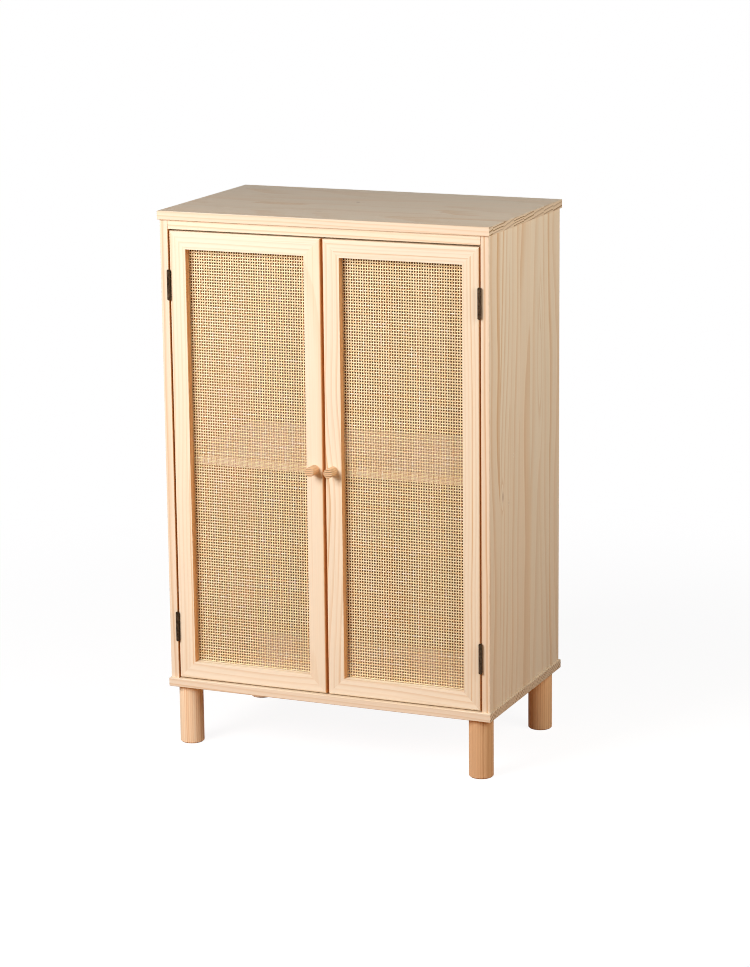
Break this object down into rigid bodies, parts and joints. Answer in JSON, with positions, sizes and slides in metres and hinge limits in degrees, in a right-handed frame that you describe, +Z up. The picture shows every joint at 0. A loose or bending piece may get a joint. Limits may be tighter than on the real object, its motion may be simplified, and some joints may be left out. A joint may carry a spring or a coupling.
{
  "type": "record cabinet",
  "caption": "Pine storage cabinet with cane-webbing doors on butt hinges, an inner shelf, dowel knobs and round legs.",
  "frame": {"origin": "on the floor, at the centre of the bounding box, which runs from the knobs' ends to the back edge of the top", "axes": "+Z up, the doors face -Y, +X to the right seen from the front"},
  "size_m": [0.6, 0.369, 0.94],
  "materials": {
    "pine": "unfinished, smooth sanded",
    "pine_leg": "unfinished, smooth sanded",
    "knob_wood": "unfinished, smooth sanded",
    "hardboard": "raw, smooth face",
    "beech": "raw",
    "cane": "natural, woven strands",
    "hinge_steel": "dark plated",
    "zinc_steel": "zinc plated",
    "magnet": "bare ferrite",
    "catch_plastic": "moulded"
  },
  "bodies": {
    "carcass": {"back_left_leg": "pine_leg", "back_panel": "hardboard", "back_right_leg": "pine_leg", "bottom_panel": "pine", "cam_bolts": "zinc_steel", "cam_locks": "zinc_steel", "catch_housing": "catch_plastic", "catch_magnets": "magnet", "catch_pole_plates": "zinc_steel", "catch_screws": "zinc_steel", "frame_leaf_screws": "hinge_steel", "front_left_leg": "pine_leg", "front_right_leg": "pine_leg", "left_lower_frame_leaf": "hinge_steel", "left_lower_hinge_pin": "hinge_steel", "left_side_panel": "pine", "left_upper_frame_leaf": "hinge_steel", "left_upper_hinge_pin": "hinge_steel", "leg_hanger_bolts": "zinc_steel", "leg_threaded_inserts": "zinc_steel", "panel_dowels": "beech", "rail_dowels": "beech", "right_lower_frame_leaf": "hinge_steel", "right_lower_hinge_pin": "hinge_steel", "right_side_panel": "pine", "right_upper_frame_leaf": "hinge_steel", "right_upper_hinge_pin": "hinge_steel", "shelf": "pine", "shelf_dowels": "beech", "top_panel": "pine", "top_rail": "pine"},
    "left_door": {"left_door_beads": "pine", "left_door_bottom_rail": "pine", "left_door_hinge_stile": "pine", "left_door_leaf_screws": "hinge_steel", "left_door_meeting_stile": "pine", "left_door_mitre_dowels": "beech", "left_door_top_rail": "pine", "left_door_webbing": "cane", "left_knob": "knob_wood", "left_knob_screw": "zinc_steel", "left_lower_door_leaf": "hinge_steel", "left_strike_plate": "zinc_steel", "left_strike_screw": "zinc_steel", "left_upper_door_leaf": "hinge_steel"},
    "right_door": {"right_door_beads": "pine", "right_door_bottom_rail": "pine", "right_door_hinge_stile": "pine", "right_door_leaf_screws": "hinge_steel", "right_door_meeting_stile": "pine", "right_door_mitre_dowels": "beech", "right_door_top_rail": "pine", "right_door_webbing": "cane", "right_knob": "knob_wood", "right_knob_screw": "zinc_steel", "right_lower_door_leaf": "hinge_steel", "right_strike_plate": "zinc_steel", "right_strike_screw": "zinc_steel", "right_upper_door_leaf": "hinge_steel"}
  },
  "joints": [
    {"name": "left_door_hinge", "type": "hinge", "parent": "carcass", "child": "left_door", "pos_m": [-0.2815, -0.1637, 0.514], "axis": [0, 0, -1], "range_deg": [0, 180]},
    {"name": "right_door_hinge", "type": "hinge", "parent": "carcass", "child": "right_door", "pos_m": [0.2815, -0.1637, 0.514], "axis": [0, 0, 1], "range_deg": [0, 180]}
  ]
}
